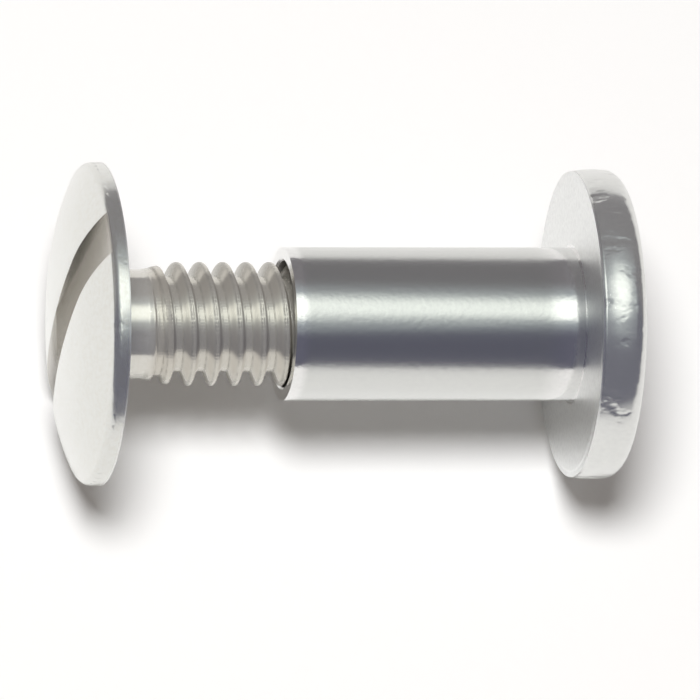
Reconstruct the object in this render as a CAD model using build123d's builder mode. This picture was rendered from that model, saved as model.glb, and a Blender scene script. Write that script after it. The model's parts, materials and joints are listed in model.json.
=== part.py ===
import os
from math import asin, atan, ceil, cos, degrees, radians, sin, sqrt, tan

from build123d import *

# A two-piece binding post lying on its side: a headed barrel, and the slotted screw that threads into it.
# Millimetres. Both pieces share the X axis, the screw's head at -X and the barrel's head at +X, with +Z up.
# The origin is on the axis, halfway along the barrel's plain outside.

# Thread, 8-32, rolled on a blank of about the pitch diameter
thread_pitch = 0.79375  # 32 threads per inch
thread_major_d = 4.16
thread_root_d = 3.20
thread_blank_d = 3.68
thread_crest_flat = 0.10
thread_flank_angle = 30.0  # each flank from square to the axis
thread_running_clearance = 0.05  # radial, from the screw's crests to the barrel's bore
groove_overcut = 0.04  # how far the groove cutter passes the crests

# Screw
screw_head_d = 10.84
screw_head_height = 1.41
screw_crown_radius = 30.0
screw_crown_d = 5.6  # where the flat crown meets the rounder shoulder
screw_rim_height = 0.51  # the plain rim below the shoulder, before its corners are rounded
screw_rim_radius = 0.35  # rounding between the shoulder and the rim
screw_under_edge_radius = 0.09
screw_neck_radius = 0.26
screw_seam_angle = 2.43  # half a flat of the head's rim when it is meshed, so the rim rests on a flat
slot_width = 1.60
slot_depth = 0.90  # below the top of the dome
slot_angle = 75.5  # about the axis, from +Y towards +Z
slot_offset = 0.18  # of its middle from the axis
shank_length = 8.7  # from under the head to the tip
blank_length = 1.35  # plain stretch under the head
crest_rise_length = 1.15  # over which the rolled crests come up to full height
full_groove_start = 2.15  # from under the head to where the groove has its full depth
groove_start_angle = -92.0  # about the axis from +Z, of that same place
groove_fade_length = 0.62  # over which the groove runs out towards the head
groove_fade_lift = 0.30  # from the groove's floor to where it runs out
tip_chamfer = 0.42

# Barrel
barrel_d = 5.16
barrel_length = 9.92  # from the mouth to under the head
barrel_head_d = 10.44
barrel_head_height = 2.15
barrel_dome_radius = 19.5
barrel_rim_crown = 0.07  # how far the head's rim bulges between its two edges
barrel_dome_edge_radius = 0.50
barrel_under_edge_radius = 0.24
barrel_neck_radius = 0.33
bore_depth = 9.40  # full diameter, below the mouth
drill_point_angle = 118.0
countersink_d = 4.40
countersink_angle = 82.0
mouth_edge_radius = 0.14

# Where the screw stands in the barrel
open_gap = 6.22  # from under the screw's head to the barrel's mouth

thread_depth = (thread_major_d - thread_root_d) / 2
bore_d = thread_major_d + 2 * thread_running_clearance
mouth_x = -barrel_length / 2
barrel_under_x = barrel_length / 2
screw_under_x = mouth_x - open_gap
tip_x = screw_under_x + shank_length


def groove_cutter(path):
    """A thread groove along a helix: its floor lies on the helix, and it opens just past the crests."""
    start = path @ 0
    outwards = Vector(0, start.Y, start.Z).normalized()
    widening = tan(radians(thread_flank_angle))
    reach = thread_depth + groove_overcut
    half_floor = (thread_pitch - thread_crest_flat) / 2 - thread_depth * widening
    half_mouth = half_floor + reach * widening
    with BuildPart() as cutter:
        with BuildSketch(Plane(origin=start, x_dir=outwards, z_dir=path % 0)):
            Polygon((0, -half_floor), (reach, -half_mouth), (reach, half_mouth), (0, half_floor), align=None)
        sweep(path=path, is_frenet=True)
    return cutter.part


# The thread's groove: one full turn repeated from where it is full to past the tip, and one that fades it out
groove_x = screw_under_x + full_groove_start
groove_turn = groove_cutter(
    Helix(thread_pitch, thread_pitch, thread_root_d / 2, center=(groove_x, 0, 0), direction=(1, 0, 0))
).rotate(Axis.X, groove_start_angle)
turn_count = ceil((tip_x - groove_x) / thread_pitch + 1)
groove_turns = [groove_turn.moved(Pos(turn * thread_pitch, 0, 0)) for turn in range(turn_count)]
fade_angle = degrees(atan(groove_fade_lift / groove_fade_length))
groove_fade = groove_cutter(
    Helix(
        thread_pitch / cos(radians(fade_angle)),
        groove_fade_length,
        thread_root_d / 2,
        center=(groove_x, 0, 0),
        direction=(-1, 0, 0),
        cone_angle=fade_angle,
    ).rotate(Axis.X, 180)
).rotate(Axis.X, groove_start_angle)

# Screw: a full-size shank, grooved and then cut back to the blank and rising crests, and the turned head
screw_top_x = screw_under_x - screw_head_height
crown_slope = degrees(asin(screw_crown_d / 2 / screw_crown_radius))
with BuildPart() as screw:
    with BuildSketch(Plane.YZ.offset(screw_under_x)):
        Circle(thread_major_d / 2)
    extrude(amount=shank_length)
    add(groove_turns, mode=Mode.SUBTRACT)
    add(groove_fade, mode=Mode.SUBTRACT)
    with BuildSketch(Plane.XZ) as blank_ring:
        with BuildLine():
            Polyline(
                (screw_under_x, thread_blank_d / 2),
                (screw_under_x + blank_length, thread_blank_d / 2),
                (screw_under_x + blank_length + crest_rise_length, thread_major_d / 2),
                (screw_under_x + blank_length + crest_rise_length, thread_major_d),
                (screw_under_x, thread_major_d),
                close=True,
            )
        make_face()
        fillet(blank_ring.vertices().sort_by_distance((screw_under_x, 0))[0], screw_neck_radius)
    revolve(axis=Axis.X, mode=Mode.SUBTRACT)
    # chamfered tip
    with BuildSketch(Plane.XZ):
        with BuildLine():
            Polyline(
                (tip_x - tip_chamfer, thread_major_d / 2),
                (tip_x, thread_major_d / 2 - tip_chamfer),
                (tip_x, thread_major_d),
                (tip_x - tip_chamfer, thread_major_d),
                close=True,
            )
        make_face()
    revolve(axis=Axis.X, mode=Mode.SUBTRACT)
    # head: a nearly flat crown, a rounder shoulder and a thin rim
    with BuildSketch(Plane.XZ.rotated((screw_seam_angle, 0, 0))) as head_outline:
        with BuildLine():
            crown = JernArc((screw_top_x, 0), (0, 1), screw_crown_radius, -crown_slope)
            shoulder = TangentArc(
                crown @ 1, (screw_under_x - screw_rim_height, screw_head_d / 2), tangent=crown % 1
            )
            Polyline(shoulder @ 1, (screw_under_x, screw_head_d / 2), (screw_under_x, 0), (screw_top_x, 0))
        make_face()
        dome_corner, under_corner = head_outline.vertices().group_by(Axis.Y)[-1].sort_by(Axis.X)
        fillet(dome_corner, screw_rim_radius)
        fillet(under_corner, screw_under_edge_radius)
    revolve(axis=Axis.X)
    # straight driver slot across the dome
    slot_direction = Vector(0, cos(radians(slot_angle)), sin(radians(slot_angle)))
    with BuildSketch(Plane(origin=(screw_top_x, 0, 0), x_dir=slot_direction, z_dir=(1, 0, 0))):
        with Locations((0, slot_offset)):
            Rectangle(2 * screw_head_d, slot_width)
    extrude(amount=slot_depth, mode=Mode.SUBTRACT)
screw.part.label = "screw"

# Barrel: the plain outside, its neck, and the thick domed head, with the bore let in from the mouth
barrel_top_x = barrel_under_x + barrel_head_height
barrel_edge_r = barrel_head_d / 2 - barrel_rim_crown
barrel_corner_x = barrel_top_x - barrel_dome_radius + sqrt(barrel_dome_radius**2 - barrel_edge_r**2)
with BuildPart() as barrel:
    with BuildSketch(Plane.XZ) as barrel_outline:
        with BuildLine():
            Polyline(
                (barrel_top_x, 0),
                (mouth_x, 0),
                (mouth_x, barrel_d / 2),
                (barrel_under_x, barrel_d / 2),
                (barrel_under_x, barrel_edge_r),
            )
            ThreePointArc(
                (barrel_under_x, barrel_edge_r),
                ((barrel_under_x + barrel_corner_x) / 2, barrel_head_d / 2),
                (barrel_corner_x, barrel_edge_r),
            )
            RadiusArc((barrel_corner_x, barrel_edge_r), (barrel_top_x, 0), barrel_dome_radius)
        make_face()
        under_corner, dome_corner = barrel_outline.vertices().group_by(Axis.Y)[-1].sort_by(Axis.X)
        neck_corner = barrel_outline.vertices().sort_by_distance((barrel_under_x, barrel_d / 2))[0]
        mouth_corner = barrel_outline.vertices().sort_by_distance((mouth_x, barrel_d / 2))[0]
        fillet(dome_corner, barrel_dome_edge_radius)
        fillet(under_corner, barrel_under_edge_radius)
        fillet(neck_corner, barrel_neck_radius)
        fillet(mouth_corner, mouth_edge_radius)
    revolve(axis=Axis.X)
    countersink_depth = (countersink_d - bore_d) / 2 / tan(radians(countersink_angle / 2))
    drill_point_depth = bore_d / 2 / tan(radians(drill_point_angle / 2))
    with BuildSketch(Plane.XZ):
        with BuildLine():
            Polyline(
                (mouth_x, 0),
                (mouth_x, countersink_d / 2),
                (mouth_x + countersink_depth, bore_d / 2),
                (mouth_x + bore_depth, bore_d / 2),
                (mouth_x + bore_depth + drill_point_depth, 0),
                close=True,
            )
        make_face()
    revolve(axis=Axis.X, mode=Mode.SUBTRACT)
barrel.part.label = "barrel"

os.makedirs("parts", exist_ok=True)
export_step(screw.part, "parts/screw.step")
export_step(barrel.part, "parts/barrel.step")
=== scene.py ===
import json
import math
from types import SimpleNamespace

import bmesh
import bpy
from mathutils import Matrix, Vector


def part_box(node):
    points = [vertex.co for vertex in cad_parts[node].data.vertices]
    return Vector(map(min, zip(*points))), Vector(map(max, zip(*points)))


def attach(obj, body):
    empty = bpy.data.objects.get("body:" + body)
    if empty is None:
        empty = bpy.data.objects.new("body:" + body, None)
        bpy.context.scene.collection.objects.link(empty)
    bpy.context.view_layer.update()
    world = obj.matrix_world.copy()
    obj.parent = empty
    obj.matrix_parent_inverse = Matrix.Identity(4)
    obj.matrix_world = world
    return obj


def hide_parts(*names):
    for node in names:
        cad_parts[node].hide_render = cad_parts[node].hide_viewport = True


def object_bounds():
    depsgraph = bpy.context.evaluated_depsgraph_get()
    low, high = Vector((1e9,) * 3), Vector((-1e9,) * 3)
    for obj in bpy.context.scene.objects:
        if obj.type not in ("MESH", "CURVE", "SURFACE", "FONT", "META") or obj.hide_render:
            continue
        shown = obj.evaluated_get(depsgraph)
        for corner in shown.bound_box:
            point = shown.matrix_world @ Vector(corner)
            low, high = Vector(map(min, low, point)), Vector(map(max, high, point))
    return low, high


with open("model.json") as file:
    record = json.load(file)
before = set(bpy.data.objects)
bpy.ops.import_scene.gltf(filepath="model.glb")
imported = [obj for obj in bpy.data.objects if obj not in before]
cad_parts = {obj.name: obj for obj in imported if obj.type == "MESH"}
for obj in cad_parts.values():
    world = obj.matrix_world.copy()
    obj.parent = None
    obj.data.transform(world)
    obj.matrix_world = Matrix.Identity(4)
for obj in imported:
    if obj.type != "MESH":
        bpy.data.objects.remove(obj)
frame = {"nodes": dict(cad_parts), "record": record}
cadLow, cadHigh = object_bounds()
nodes = frame["nodes"]
print("frame loaded")

# Places and radii in millimetres, from the frame. Both pieces share the X axis.
mounts = {mount["name"]: mount for mount in frame["record"]["mounts"]}
mouthX = 1000.0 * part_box("barrel")[0].x
barrelUnderX = 1000.0 * mounts["under_barrel_head"]["pos_m"][0]
barrelRadius = mounts["barrel_outside"]["dims"]["r_mm"]
barrelHeadRadius = 1000.0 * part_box("barrel")[1].y
screwUnderX = 1000.0 * mounts["under_screw_head"]["pos_m"][0]
screwHeadRadius = 1000.0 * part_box("screw")[1].y
tipX = 1000.0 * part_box("screw")[1].x
slotX, slotY, slotZ = (1000.0 * value for value in mounts["driver_slot"]["pos_m"])


# A socket that can be used in plain arithmetic: each operation adds one Math node.
class ShaderValue:
    def __init__(self, graph, socket):
        self.graph = graph
        self.socket = socket

    def math(self, operation, *others):
        return self.graph.math(operation, self, *others)

    def __add__(self, other):
        return self.math("ADD", other)

    def __radd__(self, other):
        return self.math("ADD", other)

    def __sub__(self, other):
        return self.math("SUBTRACT", other)

    def __rsub__(self, other):
        return self.graph.math("SUBTRACT", other, self)

    def __mul__(self, other):
        return self.math("MULTIPLY", other)

    def __rmul__(self, other):
        return self.math("MULTIPLY", other)

    def __truediv__(self, other):
        return self.math("DIVIDE", other)

    def between(self, low, high):  # 0 below low, 1 above high, smooth between
        sockets = {"Value": self, "From Min": low, "From Max": high}
        node = self.graph.add("ShaderNodeMapRange", {"interpolation_type": "SMOOTHSTEP"}, sockets)
        return ShaderValue(self.graph, node.outputs["Result"])


# The nodes of one material, of the world or of a modifier.
class Graph:
    def __init__(self, tree, outputKind):
        self.tree = tree
        self.tree.nodes.clear()
        self.output = self.tree.nodes.new(outputKind)

    def feed(self, socket, value):
        if isinstance(value, ShaderValue):
            self.tree.links.new(value.socket, socket)
        elif hasattr(value, "links"):
            self.tree.links.new(value, socket)
        else:
            socket.default_value = value

    def add(self, kind, settings, sockets):
        node = self.tree.nodes.new(kind)
        for key, value in settings.items():
            setattr(node, key, value)
        for key, value in sockets.items():
            self.feed(node.inputs[key], value)
        return node

    def math(self, operation, *values):
        node = self.add("ShaderNodeMath", {"operation": operation}, dict(enumerate(values)))
        return ShaderValue(self, node.outputs[0])

    def split(self, vector):
        parts = self.add("ShaderNodeSeparateXYZ", {}, {"Vector": vector}).outputs
        return [ShaderValue(self, part) for part in parts]

    def join(self, x, y, z):
        return self.add("ShaderNodeCombineXYZ", {}, {"X": x, "Y": y, "Z": z}).outputs[0]

    def millimetres(self):  # the point's x, y and z
        place = self.add("ShaderNodeTexCoord", {}, {}).outputs["Object"]
        return [part * 1000.0 for part in self.split(place)]

    def noise(self, x, y, z, scale, detail, roughness=0.5):
        sockets = {"Vector": self.join(x, y, z), "Scale": scale, "Detail": detail, "Roughness": roughness}
        return ShaderValue(self, self.add("ShaderNodeTexNoise", {}, sockets).outputs["Fac"])

    def mix(self, factor, first, second):
        sockets = {0: factor, 6: first, 7: second}
        return self.add("ShaderNodeMix", {"data_type": "RGBA"}, sockets).outputs[2]


# How far a point is from the slot's middle plane. It takes numbers or sockets.
def acrossSlot(y, z, look):
    angle = math.radians(look["slotAngle"])
    middleY, middleZ = look["slotAt"]
    return (z - middleZ) * math.cos(angle) - (y - middleY) * math.sin(angle)


# Where each finish lies, as masks from 0 to 1, with the place and the mottle that they share.
def finishMap(graph, look):
    x, y, z = graph.millimetres()
    radius = (y * y + z * z).math("SQRT")
    fromUnder = x - look["underX"]
    inHead = (fromUnder * look["headSide"]).between(0.0, look["headEdge"])
    onShank = (1.0 - radius.between(*look["shankEdge"])) * (1.0 - inHead)
    onFlank = (
        (x.between(*look["threadFrom"]) - inHead).math("MAXIMUM", 0.0)
        * radius.between(*look["rootToFlank"])
        * (1.0 - radius.between(*look["flankToCrest"]))
    )
    return SimpleNamespace(
        x=x,
        y=y,
        z=z,
        radius=radius,
        shank=onShank,
        rim=radius.between(*look["rimEdge"]) * x.between(*look["rimFrom"]),
        under=(1.0 - onShank) * (1.0 - fromUnder.math("ABSOLUTE").between(*look["underEdge"])),
        ends=onShank * (1.0 - x.between(*look["firstPolish"]) + x.between(*look["lastPolish"])),
        flank=onFlank,
        mottle=graph.noise(x, y, z, *look["mottle"]),
    )


# Noise with its own pace along the axis and around it.
def noiseAround(graph, at, look, along, around, detail):
    aroundY, aroundZ = (part / (at.radius + look["axisGap"]) * around for part in (at.y, at.z))
    return graph.noise(at.x * along, aroundY, aroundZ, 1.0, detail)


# The relief in millimetres, for shading alone: mottle, turning rings, and the rim's dents and waves. Some
# pieces also have a more crowned rim, a flared mouth and neck, or a thread that is eased.
def reliefHeight(graph, at, look):
    sparkle = graph.noise(at.x, at.y, at.z, *look["sparkle"])
    rings = graph.noise(at.x, at.radius, 0.0, *look["rings"])
    dents = noiseAround(graph, at, look, *look["dents"]).between(*look["dentRange"])
    waves = noiseAround(graph, at, look, *look["waves"])
    height = (
        at.mottle * look["mottleHeight"]
        + sparkle * look["sparkleHeight"] * at.shank
        + rings * look["ringHeight"]
        + (dents * look["dentDepth"] + waves * look["waveDepth"]) * at.rim
    )
    if "rimCrown" in look:
        offMiddle = at.x - look["rimMiddle"]
        height = height - offMiddle * offMiddle * look["rimCrown"] * at.rim
    if "neckFlare" in look:
        height = height + at.x.between(*look["mouthFlare"]) * look["mouthRise"]
        height = height + at.x.between(*look["neckFlare"]) * look["neckRise"]
    if "threadEase" in look:
        onThread = at.x.between(*look["threadFrom"])
        height = height - (at.radius - look["easeFrom"]) * look["threadEase"] * onThread
    return height


def metalColor(graph, at, look):
    color = graph.mix(at.shank, look["headColor"], look["shankColor"])
    # Painted light: the head's underside gets a brighter tone than the rest of the head, to lift it.
    color = graph.mix(at.under, color, look["underPaintedLightColor"])
    # The polished ends are smoother, which is their polish, and brighter in tone, which is painted
    # highlight.
    color = graph.mix(at.ends, color, look["polishAndHighlightColor"])
    color = graph.mix(at.flank, color, look["flankColor"])
    # Painted shade: the slot's walls and floor get a darker tone, where shade falls in the recess.
    if "slotAngle" in look:
        beside = acrossSlot(at.y, at.z, look).math("ABSOLUTE") - look["slotWidth"] / 2
        inSlot = (1.0 - beside.between(*look["slotEdge"])) * (1.0 - at.x.between(*look["slotFloor"]))
        color = graph.mix(inSlot, color, look["slotShadeColor"])
    dull = at.mottle.between(*look["dullRange"]) * look["dullShare"]
    return graph.mix(dull, color, look["dullColor"])


# Bright turned aluminium. The shank, thread, rim and underside of the head differ in polish and tone. The
# brighter tones of the underside and of the polished ends are painted light, and the slot's darker tone is
# painted shade.
def turnedMetal(name, look):
    material = bpy.data.materials.new(name)
    material.use_nodes = True
    graph = Graph(material.node_tree, "ShaderNodeOutputMaterial")
    at = finishMap(graph, look)
    roughness = (
        look["headRoughness"]
        + at.shank * (look["shankRoughness"] - look["headRoughness"])
        + at.under * (look["underRoughness"] - look["headRoughness"])
        + at.rim * (look["rimRoughness"] - look["headRoughness"])
        - at.ends * (look["shankRoughness"] - look["polishRoughness"])
        + at.flank * (look["flankRoughness"] - look["shankRoughness"])
        + (at.mottle - 0.5) * look["roughnessSpread"]  # 0.5 is the noise's middle
    )
    dullness = (
        at.shank * look["shankDullness"]
        + at.rim * look["rimDullness"]
        + at.flank * look["flankDullness"]
    )
    relief = {"Strength": 1.0, "Distance": 0.001, "Height": reliefHeight(graph, at, look)}  # in millimetres
    sockets = {
        "Base Color": metalColor(graph, at, look),
        "Roughness": roughness,
        "Metallic": 1.0 - dullness,
        "Normal": graph.add("ShaderNodeBump", {}, relief).outputs["Normal"],
    }
    shader = graph.add("ShaderNodeBsdfPrincipled", {}, sockets)
    graph.feed(graph.output.inputs["Surface"], shader.outputs[0])
    return material


# Whether a point is on the lines where the slot's walls meet the dome.
def onLip(point, look):
    x, y, z = (1000.0 * value for value in point)
    beside = abs(acrossSlot(y, z, look)) - look["slotWidth"] / 2
    return abs(beside) < look["lipWithin"] and x < look["lipBefore"]


def softenLips(shape, look):
    crease = math.radians(look["creaseAngle"])
    lips = []
    for edge in shape.edges:
        if edge.calc_face_angle(0.0) > crease and all(onLip(vert.co, look) for vert in edge.verts):
            lips.append(edge)
    bmesh.ops.bevel(
        shape,
        geom=lips,
        offset=look["lipRound"] / 1000.0,
        offset_type="OFFSET",
        segments=look["lipSegments"],
        profile=0.5,
        affect="EDGES",
        clamp_overlap=True,
    )
    print("lips softened", len(lips))


# Whether a point belongs to the shank: from the underside of the head on, and inside the shank's edge.
def inShank(point, look):
    x, radius = 1000.0 * point.x, 1000.0 * math.hypot(point.y, point.z)
    return x > look["underX"] - look["cutMargin"] and radius < look["shankEdge"][0]


# Takes the shank out of the surface, closes the hole and stands another shank there.
def changeShank(shape, shank, look):
    spare = [face for face in shape.faces if all(inShank(vert.co, look) for vert in face.verts)]
    bmesh.ops.delete(shape, geom=spare, context="FACES")
    bmesh.ops.holes_fill(shape, edges=[edge for edge in shape.edges if edge.is_boundary])
    shape.from_mesh(shank)


# A CAD piece's surface, joined along its seams and with true creases only.
def finishedPiece(node, name, look, material, shank=None):
    mesh = node.data.copy()
    for key in ("custom_normal", "sharp_edge", "sharp_face"):  # the creases it came with
        if key in mesh.attributes:
            mesh.attributes.remove(mesh.attributes[key])
    shape = bmesh.new()
    shape.from_mesh(mesh)
    bmesh.ops.remove_doubles(shape, verts=shape.verts, dist=look["joinWithin"])
    if "slotAngle" in look:
        softenLips(shape, look)
    if shank:
        changeShank(shape, shank, look)
    bmesh.ops.recalc_face_normals(shape, faces=shape.faces)
    for edge in shape.edges:
        edge.smooth = edge.calc_face_angle(0.0) < math.radians(look["creaseAngle"])
    for face in shape.faces:
        face.smooth = True
        face.material_index = 0
    shape.to_mesh(mesh)
    shape.free()
    mesh.materials.clear()
    mesh.materials.append(material)
    piece = bpy.data.objects.new(name, mesh)
    bpy.context.collection.objects.link(piece)
    weighted = piece.modifiers.new("weighted", "WEIGHTED_NORMAL")
    weighted.mode = "FACE_AREA"
    weighted.keep_sharp = True
    print(name, "faces", len(mesh.polygons))
    return piece


# The shank's radius at a place along it and a share of a turn around it. The lowest of three surfaces
# holds: the thread, the groove's first turn where it fades in, and the rising crests. The tip's chamfer
# cuts it, and the neck's fillet widens it.
def shankRadius(size, along, turn):
    lead = (turn - size["Groove Angle"] / 360.0).math("FRACT")
    depth = size["Crest Radius"] - size["Root Radius"]
    flankEnd = size["Pitch"] * 0.5 - size["Crest Half"]
    steps = (along - size["Groove Start"]) / size["Pitch"] - lead
    fromGroove = (steps - steps.math("ROUND").math("MAXIMUM", 0.0)).math("ABSOLUTE") * size["Pitch"]
    threaded = size["Root Radius"] + depth * fromGroove.between(size["Root Half"], flankEnd)

    fromFade = (along - size["Groove Start"] + (1.0 - lead) * size["Fade Length"]).math("ABSOLUTE")
    fadeRoot = size["Root Radius"] + (1.0 - lead) * size["Fade Lift"]
    fading = fadeRoot + depth * fromFade.between(size["Root Half"], flankEnd)

    rise = (size["Crest Radius"] - size["Blank Radius"]) / size["Rise Length"]
    rising = size["Blank Radius"] + (along - size["Blank Length"]).math("MAXIMUM", 0.0) * rise
    lowest = threaded.math("SMOOTH_MIN", fading, size["Blend"]).math("SMOOTH_MIN", rising, size["Blend"])
    chamfer = size["Crest Radius"] - (along - size["Length"] + size["Tip Chamfer"])

    fillet = size["Neck Radius"]
    inNeck = (fillet - along).math("MAXIMUM", 0.0).math("MINIMUM", fillet)
    neck = fillet - (fillet * fillet - inNeck * inNeck).math("SQRT")
    return lowest.math("MINIMUM", chamfer) + neck


# The plain mesh that a modifier's tree makes from named sizes.
def meshFrom(tree, identifiers, sizes):
    host = bpy.data.objects.new(tree.name, bpy.data.meshes.new(tree.name))
    bpy.context.collection.objects.link(host)
    modifier = host.modifiers.new(tree.name, "NODES")
    modifier.node_group = tree
    for name, value in sizes.items():
        modifier[identifiers[name]] = value
    evaluated = host.evaluated_get(bpy.context.evaluated_depsgraph_get())
    mesh = bpy.data.meshes.new_from_object(evaluated)
    bpy.data.objects.remove(host)
    return mesh


# The rolled shank: a tube whose radius follows the thread's helix, buried a little in the head.
def rolledShank(look, material):
    tree = bpy.data.node_groups.new("rolled_shank", "GeometryNodeTree")
    tree.interface.new_socket("Geometry", in_out="OUTPUT", socket_type="NodeSocketGeometry")
    identifiers = {
        name: tree.interface.new_socket(name, in_out="INPUT", socket_type="NodeSocketFloat").identifier
        for name in look["sizes"]
    }
    graph = Graph(tree, "NodeGroupOutput")
    given = graph.add("NodeGroupInput", {}, {}).outputs
    size = {name: ShaderValue(graph, given[name]) for name in look["sizes"]}

    sockets = {
        "Vertices": look["around"],
        "Side Segments": look["along"],
        "Radius": 1.0,  # any, because every point is placed anew
        "Depth": size["Length"] + size["Buried"],
    }
    tube = graph.add("GeometryNodeMeshCylinder", {"fill_type": "NGON"}, sockets).outputs["Mesh"]
    tubeX, tubeY, tubeZ = graph.split(graph.add("GeometryNodeInputPosition", {}, {}).outputs[0])
    along = tubeZ + (size["Length"] - size["Buried"]) / 2.0
    turn = tubeY.math("ARCTAN2", tubeX) / math.tau
    radius = shankRadius(size, along, turn)
    angle = turn * math.tau
    place = graph.join(size["Start"] + along, radius * angle.math("COSINE"), radius * angle.math("SINE"))
    sockets = {0: place, "Scale": 0.001}  # from millimetres to metres
    place = graph.add("ShaderNodeVectorMath", {"operation": "SCALE"}, sockets).outputs[0]
    shaped = graph.add("GeometryNodeSetPosition", {}, {"Geometry": tube, "Position": place}).outputs[0]
    real = graph.add("GeometryNodeRealizeInstances", {}, {"Geometry": shaped}).outputs[0]
    sockets = {"Geometry": real, "Material": material}
    dressed = graph.add("GeometryNodeSetMaterial", {}, sockets).outputs[0]
    graph.feed(graph.output.inputs["Geometry"], dressed)

    mesh = meshFrom(tree, identifiers, look["sizes"])
    print("shank rolled", len(mesh.polygons))
    return mesh


shankLook = {
    "around": 96,  # faces around
    "along": 300,  # and along
    "sizes": {  # millimetres, from under the head, and degrees
        "Start": screwUnderX,
        "Length": tipX - screwUnderX,
        "Buried": 0.10,
        "Crest Radius": 2.08,
        "Root Radius": 1.60,
        "Blank Radius": 1.84,
        "Pitch": 0.79375,
        "Root Half": 0.09,
        "Crest Half": 0.03,
        "Groove Start": 2.15,
        "Groove Angle": -2.0,
        "Fade Length": 0.62,
        "Fade Lift": 0.30,
        "Blank Length": 1.35,
        "Rise Length": 1.15,
        "Neck Radius": 0.26,
        "Tip Chamfer": 0.42,
        "Blend": 0.06,
    },
}
crestRadius, blankRadius = shankLook["sizes"]["Crest Radius"], shankLook["sizes"]["Blank Radius"]

# What both pieces share. Lengths are millimetres. Most pairs are where a mask begins and where it is full.
metalLook = {
    "joinWithin": 1e-6,  # metres
    "creaseAngle": 32.0,
    "axisGap": 0.001,  # keeps the direction around the axis finite on it
    "headEdge": 0.05,
    "underEdge": (0.02, 0.06),
    # a brighter tone for the head's underside, which is painted light
    "underPaintedLightColor": (0.87, 0.88, 0.87, 1.0),
    "dullShare": 0.35,
    "dullRange": (0.35, 0.75),
    "headRoughness": 0.20,
    "underRoughness": 0.38,
    "polishRoughness": 0.14,
    "rimRoughness": 0.23,
    "roughnessSpread": 0.05,
    "mottle": (7.0, 4.0, 0.65),  # a noise's scale, detail and roughness
    "mottleHeight": 0.0006,
    "sparkle": (5.0, 2.0),
    "rings": (14.0, 3.0, 0.7),
    "ringHeight": 0.0002,
    "dents": (1.2, 9.0, 2.0),  # a noise's pace along the axis, around it, and detail
    "dentRange": (0.5, 0.8),
    "waves": (0.8, 6.0, 1.0),
    "rimDullness": 0.09,
}
barrelLook = dict(
    metalLook,
    underX=barrelUnderX,
    headSide=1.0,  # the head lies towards +X
    shankEdge=(barrelRadius + 0.04, barrelRadius + 0.16),
    rimEdge=(barrelHeadRadius - 0.32, barrelHeadRadius - 0.22),
    rimFrom=(barrelUnderX - 0.06, barrelUnderX + 0.14),
    headColor=(0.77, 0.78, 0.76, 1.0),
    shankColor=(0.68, 0.69, 0.67, 1.0),
    dullColor=(0.62, 0.62, 0.62, 1.0),
    shankRoughness=0.25,
    shankDullness=0.0,
    sparkleHeight=0.0036,
    dentDepth=-0.020,
    waveDepth=0.03,
    rimMiddle=barrelUnderX + 0.99,
    rimCrown=0.09,
    # a brighter tone at the polished ends, which is painted highlight
    polishAndHighlightColor=(0.84, 0.84, 0.83, 1.0),
    firstPolish=(mouthX + 0.21, mouthX + 0.56),  # the burnished edge of the mouth, brighter in tone there as painted highlight
    lastPolish=(barrelUnderX - 1.56, barrelUnderX - 0.36),  # and the neck, likewise
    mouthFlare=(mouthX - 0.02, mouthX + 0.28),
    mouthRise=0.024,
    neckFlare=(barrelUnderX - 1.26, barrelUnderX - 0.11),
    neckRise=0.07,
    threadFrom=(mouthX + 0.01, mouthX + 0.11),  # inside the bore
    rootToFlank=(0.0, 0.1),
    flankToCrest=(2.22, 2.3),
    flankColor=(0.50, 0.48, 0.47, 1.0),
    flankRoughness=0.45,
    flankDullness=0.5,
)
screwLook = dict(
    metalLook,
    underX=screwUnderX,
    headSide=-1.0,
    cutMargin=0.001,  # by which the shank's cut reaches past the head's underside
    shankEdge=(crestRadius + 0.04, crestRadius + 0.16),
    rimEdge=(screwHeadRadius - 0.22, screwHeadRadius - 0.12),
    rimFrom=(screwUnderX - 0.72, screwUnderX - 0.52),
    headColor=(0.76, 0.77, 0.745, 1.0),
    shankColor=(0.66, 0.64, 0.58, 1.0),
    dullColor=(0.64, 0.615, 0.54, 1.0),
    shankRoughness=0.23,
    shankDullness=0.32,
    sparkleHeight=0.0004,
    dentDepth=-0.008,
    waveDepth=0.02,
    # a brighter tone on the polished blank, which is painted highlight
    polishAndHighlightColor=(0.76, 0.75, 0.70, 1.0),
    firstPolish=(screwUnderX + 1.28, screwUnderX + 1.68),  # the plain blank under the head, brighter in tone there as painted highlight
    lastPolish=(tipX + 1.0, tipX + 2.0),  # none at the tip
    threadFrom=(screwUnderX + 1.48, screwUnderX + 1.78),
    rootToFlank=(1.62, 1.72),
    flankToCrest=(1.96, 2.06),
    flankColor=(0.66, 0.63, 0.56, 1.0),
    flankRoughness=0.24,
    flankDullness=0.05,
    threadEase=1.7,  # shades the flanks nearly flat, and leaves the mesh as it is
    easeFrom=blankRadius,
    slotAt=(slotY, slotZ),
    slotAngle=75.5,
    slotWidth=1.60,
    slotEdge=(-0.02, 0.1),  # from the slot's walls outwards
    slotFloor=(slotX + 0.01, slotX + 0.06),
    # painted shade in the slot
    slotShadeColor=(0.68, 0.665, 0.64, 1.0),
    lipWithin=0.01,  # of the slot's walls
    lipBefore=slotX - 0.05,  # on the dome's side of the floor
    lipRound=0.14,
    lipSegments=4,
)

barrelMetal = turnedMetal("barrel_metal", barrelLook)
barrel = finishedPiece(nodes["barrel"], "barrel_body", barrelLook, barrelMetal)
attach(barrel, "barrel")
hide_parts("barrel")
screwMetal = turnedMetal("screw_metal", screwLook)
shank = rolledShank(shankLook, screwMetal)
screw = finishedPiece(nodes["screw"], "screw_body", screwLook, screwMetal, shank)
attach(screw, "screw")
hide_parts("screw")
print("metal done")


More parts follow.
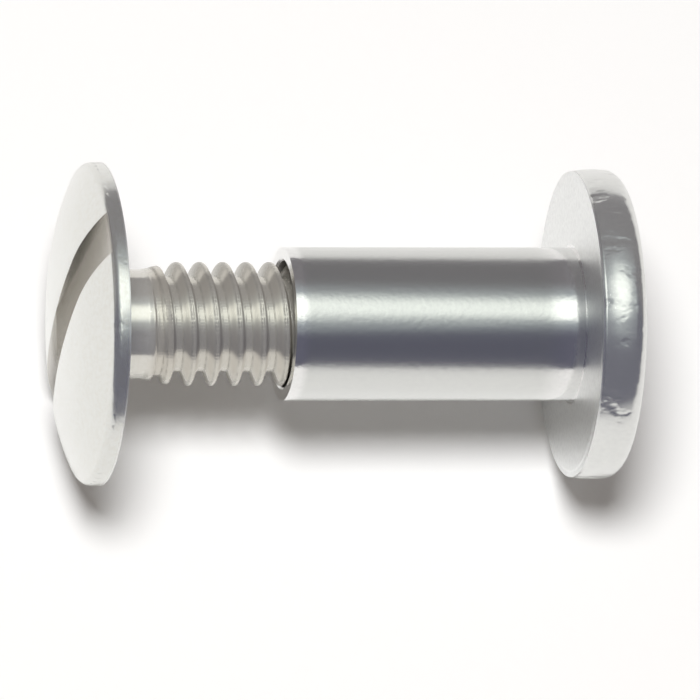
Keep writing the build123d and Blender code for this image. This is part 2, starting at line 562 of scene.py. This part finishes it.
# White paper. The camera and the metal see it brighter than it lights them, and shadows fall on it.
def paper(look):
    material = bpy.data.materials.new("floor_paper")
    material.use_nodes = True
    graph = Graph(material.node_tree, "ShaderNodeOutputMaterial")
    grain = graph.noise(*graph.millimetres(), *look["grain"])
    color = graph.mix(grain, look["color"], look["grainColor"])
    rays = graph.add("ShaderNodeLightPath", {}, {}).outputs
    seen = ShaderValue(graph, rays["Is Camera Ray"]) + rays["Is Glossy Ray"] + rays["Is Transmission Ray"]
    color = graph.mix(seen.math("MINIMUM", 1.0), color, look["seen"])
    sockets = {
        "Base Color": color,
        "Roughness": look["roughness"],
        "Specular IOR Level": look["specular"],
    }
    shader = graph.add("ShaderNodeBsdfPrincipled", {}, sockets)
    graph.feed(graph.output.inputs["Surface"], shader.outputs[0])
    return material


floorLook = {
    "size": 0.9,
    "color": (0.92, 0.92, 0.92, 1.0),
    "grainColor": (0.89, 0.89, 0.885, 1.0),
    "grain": (3.0, 3.0),
    "seen": (1.12, 1.12, 1.115, 1.0),
    "roughness": 0.9,
    "specular": 0.2,
}
bpy.ops.mesh.primitive_plane_add(size=floorLook["size"], location=(0.0, 0.0, cadLow.z))
floor = bpy.context.object
floor.name = "floor"
floor.data.materials.append(paper(floorLook))

lampLook = {"height": 0.5, "across": 0.17, "power": 2.05, "lean": 2.0, "shift": -0.11}
lamp = bpy.data.lights.new("overhead", "AREA")
lamp.shape = "DISK"
lamp.size = lampLook["across"]
lamp.energy = lampLook["power"]
overhead = bpy.data.objects.new("overhead", lamp)
lean = math.radians(lampLook["lean"])
overhead.location = (
    lampLook["shift"],
    -math.sin(lean) * lampLook["height"],
    math.cos(lean) * lampLook["height"],
)
overhead.rotation_euler = (-lean, math.atan(lampLook["shift"] / lampLook["height"]), 0.0)
overhead.visible_glossy = False
bpy.context.collection.objects.link(overhead)


# The room as the metal shows it: dim walls, and one round soft light overhead with a glow around it.
def roomAround(look):
    world = bpy.data.worlds.new("room")
    world.use_nodes = True
    graph = Graph(world.node_tree, "ShaderNodeOutputWorld")
    dx, dy, dz = graph.split(graph.add("ShaderNodeTexCoord", {}, {}).outputs["Generated"])
    overTop = dz.math("ARCTAN2", dy * -1.0) * (180.0 / math.pi)
    sideways = dx.math("ARCSINE") * (180.0 / math.pi)
    away = (overTop - look["lightAt"][0]) / look["lightReach"][0]
    aside = (sideways - look["lightAt"][1]) / look["lightReach"][1]
    fromLight = (away * away + aside * aside).math("SQRT")

    onLeft = (1.0 - sideways.between(*look["leftTurn"])) * overTop.between(*look["leftRise"])
    seen = graph.mix(overTop.between(*look["frontToBehind"]), look["front"], look["behind"])
    seen = graph.mix(onLeft, seen, look["left"])
    seen = graph.mix(1.0 - fromLight.between(*look["glowEdge"]), seen, look["glow"])
    seen = graph.mix(1.0 - fromLight.between(*look["lightEdge"]), seen, look["light"])
    rays = graph.add("ShaderNodeLightPath", {}, {}).outputs
    seen = graph.mix(rays["Is Glossy Ray"], look["fill"], seen)
    seen = graph.mix(rays["Is Camera Ray"], seen, look["backdrop"])
    background = graph.add("ShaderNodeBackground", {}, {"Color": seen})
    graph.feed(graph.output.inputs["Surface"], background.outputs[0])
    return world


# Angles are degrees, first from the horizon in front, over the top, to the one behind, and then towards +X.
roomLook = {
    "backdrop": (1.0, 1.0, 1.0, 1.0),
    "fill": (0.160, 0.144, 0.134, 1.0),
    "front": (0.130, 0.130, 0.172, 1.0),
    "behind": (0.225, 0.215, 0.225, 1.0),
    "frontToBehind": (60.0, 120.0),
    "left": (0.42, 0.42, 0.41, 1.0),
    "leftTurn": (-80.0, -40.0),
    "leftRise": (75.0, 105.0),
    "light": (1.50, 1.55, 1.47, 1.0),
    "lightAt": (91.0, 3.0),
    "lightReach": (17.5, 17.0),
    "lightEdge": (0.65, 1.35),  # in reaches
    "glow": (0.44, 0.48, 0.50, 1.0),
    "glowEdge": (0.9, 2.6),
}
bpy.context.scene.world = roomAround(roomLook)

cameraLook = {
    "turn": 12.0,
    "elevation": 67.5,
    "distance": 0.6,
    "acrossFrame": 0.02352,
    "aimRight": -0.002557,  # from the part's origin to the middle of the view
    "aimUp": -0.000874,
    "sensor": 36.0,
    "nearest": 0.01,
    "farthest": 10.0,
}
turn = math.radians(cameraLook["turn"])
elevation = math.radians(cameraLook["elevation"])
back = Vector(
    (-math.sin(turn), -math.cos(turn) * math.cos(elevation), math.cos(turn) * math.sin(elevation))
)
right = Vector(
    (math.cos(turn), -math.sin(turn) * math.cos(elevation), math.sin(turn) * math.sin(elevation))
)
up = back.cross(right)
target = right * cameraLook["aimRight"] + up * cameraLook["aimUp"]
camera = bpy.data.objects.new("camera", bpy.data.cameras.new("camera"))
camera.data.sensor_width = cameraLook["sensor"]
camera.data.lens = cameraLook["sensor"] * cameraLook["distance"] / cameraLook["acrossFrame"]
camera.matrix_world = Matrix.Translation(target + back * cameraLook["distance"]) @ Matrix(
    (right, up, back)
).transposed().to_4x4()
camera.data.clip_start = cameraLook["nearest"]
camera.data.clip_end = cameraLook["farthest"]
bpy.context.collection.objects.link(camera)
bpy.context.scene.camera = camera
bpy.context.scene.view_settings.view_transform = "Standard"
print("stage done")
